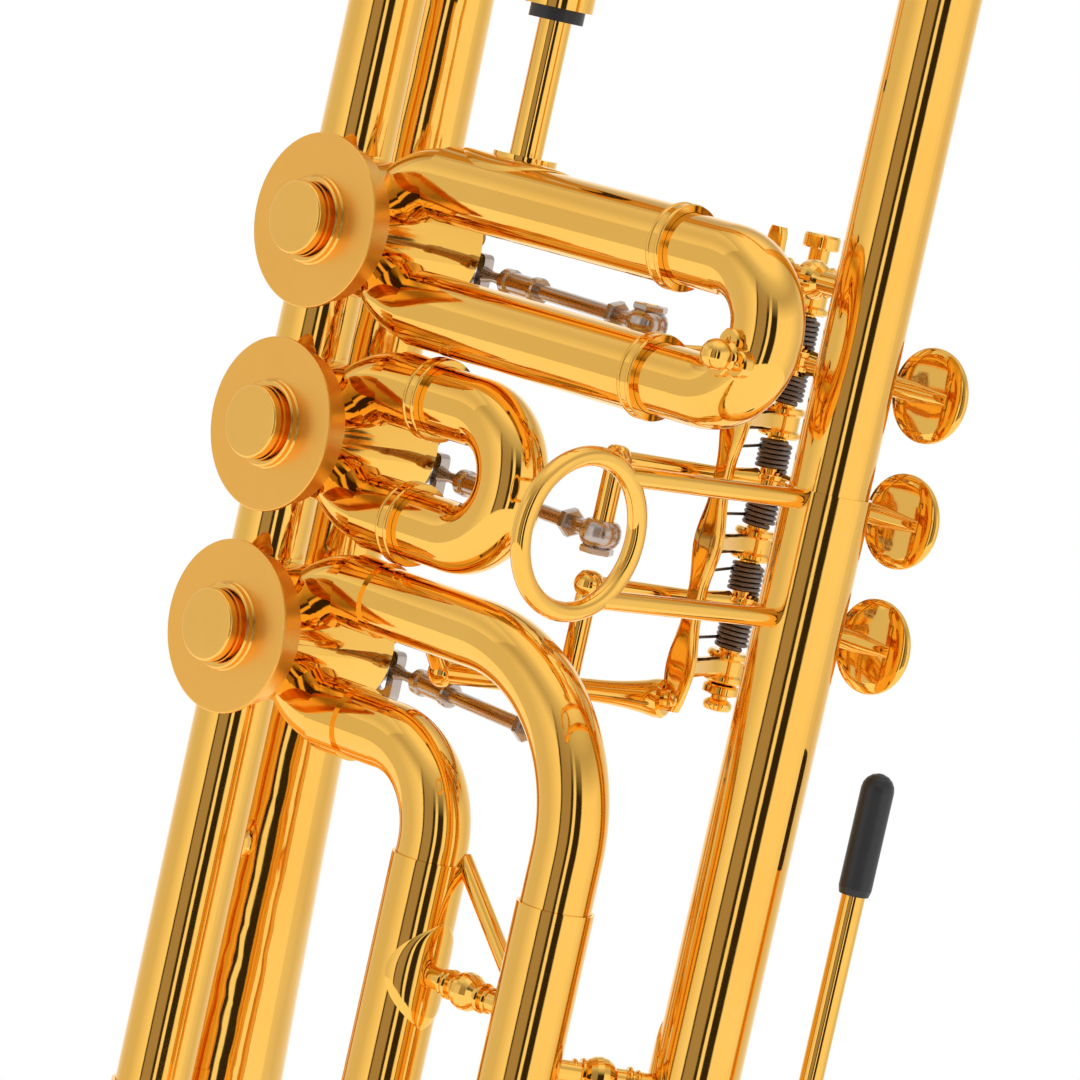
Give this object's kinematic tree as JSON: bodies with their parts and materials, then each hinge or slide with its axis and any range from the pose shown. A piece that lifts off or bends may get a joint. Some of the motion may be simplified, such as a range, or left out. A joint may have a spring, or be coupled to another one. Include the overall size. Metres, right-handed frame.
{
  "type": "rotary valve trumpet",
  "caption": "Gold-plated trumpet with side-facing rotary valves, finger levers, pull slides, thumb ring, water key and a wide bell.",
  "frame": {"origin": "centre of the bell rim, on the plane that the bell stands on", "axes": "+Z along the bell axis towards the mouthpiece end, +X from the bell towards the return tube, -Y towards the side with the valve caps"},
  "size_m": [0.1833, 0.1306, 0.532],
  "materials": {
    "gold_plate": "mirror polished gold plate",
    "rotor_brass": "fine turned bare brass",
    "crank_steel": "polished steel",
    "link_steel": "polished steel",
    "spring_steel": "dark oiled spring steel",
    "black_rubber": "soft satin",
    "cork": "matte natural cork"
  },
  "bodies": {
    "trumpet_body": {"bearing_plate_1": "gold_plate", "bearing_plate_2": "gold_plate", "bearing_plate_3": "gold_plate", "bell": "gold_plate", "bell_braces": "gold_plate", "bell_rim_wire": "gold_plate", "first_slide_sleeves": "gold_plate", "leadpipe": "gold_plate", "lever_axle": "gold_plate", "lever_rack": "gold_plate", "lever_springs": "spring_steel", "main_line_tube": "gold_plate", "mouthpiece_receiver": "gold_plate", "rack_bottom_stay": "gold_plate", "rack_top_stay": "gold_plate", "rear_bow": "gold_plate", "rear_stay_arm": "gold_plate", "rear_stay_post": "gold_plate", "rear_stay_seal": "black_rubber", "return_brace": "gold_plate", "return_sleeve": "gold_plate", "return_tube": "gold_plate", "second_slide_sleeves": "gold_plate", "stop_corks": "cork", "third_slide_brace": "gold_plate", "third_slide_far_tube": "gold_plate", "third_slide_near_tube": "gold_plate", "third_slide_rings": "gold_plate", "third_slide_sleeves": "gold_plate", "thumb_ring": "gold_plate", "tuning_sleeve": "gold_plate", "valve_cap_1": "gold_plate", "valve_cap_2": "gold_plate", "valve_cap_3": "gold_plate", "valve_casing_1": "gold_plate", "valve_casing_2": "gold_plate", "valve_casing_3": "gold_plate", "valve_link_tubes": "gold_plate"},
    "tuning_slide": {"tuning_slide_bow": "gold_plate", "water_key_saddle": "gold_plate", "water_nipple": "gold_plate"},
    "water_key": {"water_key_lever": "gold_plate", "water_key_tip": "black_rubber", "water_key_cork": "cork"},
    "first_slide": {"first_slide_bow": "gold_plate", "first_slide_knob": "gold_plate"},
    "second_slide": {"second_slide_bow": "gold_plate"},
    "third_slide": {"third_slide_bow": "gold_plate"},
    "lever_1": {"lever_1": "gold_plate"},
    "link_1": {"link_1": "link_steel"},
    "rotor_1": {"rotor_1": "rotor_brass", "rotor_crank_1": "crank_steel"},
    "lever_2": {"lever_2": "gold_plate"},
    "link_2": {"link_2": "link_steel"},
    "rotor_2": {"rotor_2": "rotor_brass", "rotor_crank_2": "crank_steel"},
    "lever_3": {"lever_3": "gold_plate"},
    "link_3": {"link_3": "link_steel"},
    "rotor_3": {"rotor_3": "rotor_brass", "rotor_crank_3": "crank_steel"}
  },
  "joints": [
    {"name": "tuning_slide_pull", "type": "slide", "parent": "trumpet_body", "child": "tuning_slide", "axis": [0, 0, -1], "range_m": [0, 0.032]},
    {"name": "first_slide_pull", "type": "slide", "parent": "trumpet_body", "child": "first_slide", "axis": [1, 0, 0], "range_m": [0, 0.038]},
    {"name": "second_slide_pull", "type": "slide", "parent": "trumpet_body", "child": "second_slide", "axis": [1, 0, 0], "range_m": [0, 0.005]},
    {"name": "third_slide_pull", "type": "slide", "parent": "trumpet_body", "child": "third_slide", "axis": [0, 0, -1], "range_m": [0, 0.036]},
    {"name": "water_key_press", "type": "hinge", "parent": "tuning_slide", "child": "water_key", "pos_m": [0.11256, 0.00836, 0.141], "axis": [0.6428, -0.766, 0], "range_deg": [0, 3.2], "stiffness_Nm_per_rad": 0.3, "springref_deg": -8.59},
    {"name": "lever_1_press", "type": "hinge", "parent": "trumpet_body", "child": "lever_1", "pos_m": [0.0766, 0.015, 0.3273], "axis": [0, 0, -1], "range_deg": [0, 18], "stiffness_Nm_per_rad": 0.12, "springref_deg": -17.19},
    {"name": "link_1_swing", "type": "hinge", "parent": "lever_1", "child": "link_1", "pos_m": [0.0723, -0.014, 0.3275], "axis": [0, 0, -1], "range_deg": [-21.5, 0]},
    {"name": "rotor_1_turn", "type": "hinge", "parent": "trumpet_body", "child": "rotor_1", "pos_m": [0.02, -0.0235, 0.332], "axis": [0, 1, 0], "range_deg": [0, 90]},
    {"name": "lever_2_press", "type": "hinge", "parent": "trumpet_body", "child": "lever_2", "pos_m": [0.0766, 0.015, 0.308], "axis": [0, 0, -1], "range_deg": [0, 18], "stiffness_Nm_per_rad": 0.12, "springref_deg": -17.19},
    {"name": "link_2_swing", "type": "hinge", "parent": "lever_2", "child": "link_2", "pos_m": [0.0723, -0.014, 0.2955], "axis": [0, 0, -1], "range_deg": [-21.5, 0]},
    {"name": "rotor_2_turn", "type": "hinge", "parent": "trumpet_body", "child": "rotor_2", "pos_m": [0.02, -0.0235, 0.3], "axis": [0, 1, 0], "range_deg": [0, 90]},
    {"name": "lever_3_press", "type": "hinge", "parent": "trumpet_body", "child": "lever_3", "pos_m": [0.0766, 0.015, 0.2887], "axis": [0, 0, -1], "range_deg": [0, 18], "stiffness_Nm_per_rad": 0.12, "springref_deg": -17.19},
    {"name": "link_3_swing", "type": "hinge", "parent": "lever_3", "child": "link_3", "pos_m": [0.0723, -0.014, 0.2635], "axis": [0, 0, -1], "range_deg": [-21.5, 0]},
    {"name": "rotor_3_turn", "type": "hinge", "parent": "trumpet_body", "child": "rotor_3", "pos_m": [0.02, -0.0235, 0.268], "axis": [0, 1, 0], "range_deg": [0, 90]}
  ],
  "couplings": [
    {"joint": "link_1_swing", "follows": "lever_1_press", "ratio": -1.18},
    {"joint": "rotor_1_turn", "follows": "lever_1_press", "ratio": 5},
    {"joint": "link_2_swing", "follows": "lever_2_press", "ratio": -1.18},
    {"joint": "rotor_2_turn", "follows": "lever_2_press", "ratio": 5},
    {"joint": "link_3_swing", "follows": "lever_3_press", "ratio": -1.18},
    {"joint": "rotor_3_turn", "follows": "lever_3_press", "ratio": 5}
  ]
}
